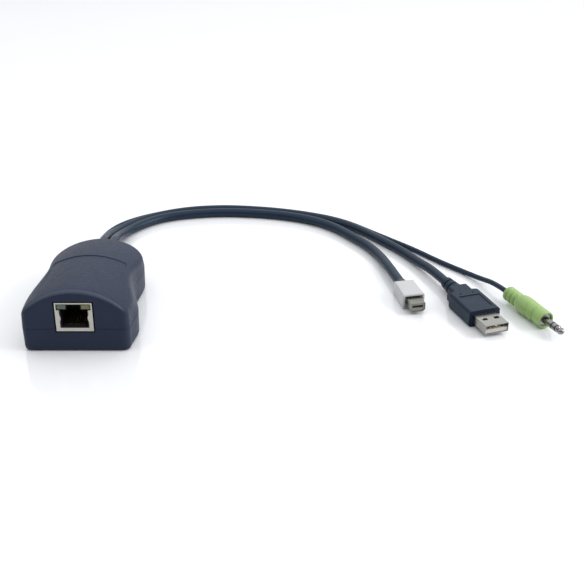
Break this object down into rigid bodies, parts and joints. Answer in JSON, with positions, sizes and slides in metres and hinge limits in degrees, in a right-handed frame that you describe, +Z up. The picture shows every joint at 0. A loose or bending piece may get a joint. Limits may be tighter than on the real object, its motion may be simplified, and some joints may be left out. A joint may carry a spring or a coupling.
{
  "type": "kvm dongle",
  "caption": "Waisted two-part plastic pod with an arched top and a network socket in front, and captive video, USB and audio plug cables behind.",
  "frame": {"origin": "on the surface the housing stands on, below the middle of the box of the housing and gland, with the cables and plugs left out", "axes": "+Z up, -Y out of the network socket, +Y out of the cable gland, +X to the right as seen from the socket, which is the side the cables turn to"},
  "size_m": [0.2451, 0.1692, 0.0304],
  "materials": {
    "housing": "fine matt grain, dark blue grey",
    "screw_steel": "satin",
    "board": "satin solder mask, green",
    "shield": "nickel plate, satin",
    "socket_plastic": "black",
    "contact_gold": "gold plate",
    "link_light_green": "unlit lens, grey green",
    "link_light_amber": "unlit lens, olive yellow",
    "chip": "black epoxy",
    "can": "satin",
    "ferrite": "dark grey",
    "header": "ivory",
    "gland": "satin",
    "cable": "dark navy jacket, satin",
    "video_grip": "light grey white, satin",
    "boot": "dark grey",
    "collar": "dark grey",
    "plug_steel": "nickel plate",
    "insulator": "black",
    "usb_grip": "dark navy, satin",
    "tongue": "pale grey",
    "audio_grip": "light green, satin",
    "pin_chrome": "polished"
  },
  "bodies": {
    "root": {"upper_housing": "housing", "lower_housing": "housing", "case_screws": "screw_steel", "circuit_board": "board", "socket_shield": "shield", "socket_insert": "socket_plastic", "socket_contacts": "contact_gold", "left_link_light": "link_light_green", "right_link_light": "link_light_amber", "network_transformer": "chip", "main_processor": "chip", "video_receiver": "chip", "usb_controller": "chip", "clock_crystal": "can", "power_inductor": "ferrite", "filter_capacitors": "can", "video_header": "header", "usb_header": "header", "audio_header": "header", "cable_gland": "gland", "video_cable": "cable", "usb_cable": "cable", "audio_cable": "cable", "video_plug_body": "video_grip", "video_plug_collar": "collar", "video_plug_shell": "plug_steel", "video_plug_insulator": "insulator", "video_plug_contacts": "contact_gold", "video_plug_boot": "boot", "usb_plug_body": "usb_grip", "usb_plug_shell": "plug_steel", "usb_plug_tongue": "tongue", "usb_plug_contacts": "contact_gold", "audio_plug_body": "audio_grip", "audio_plug_sleeve": "pin_chrome", "audio_plug_ring": "pin_chrome", "audio_plug_tip": "pin_chrome", "audio_plug_insulators": "insulator"}
  },
  "joints": []
}
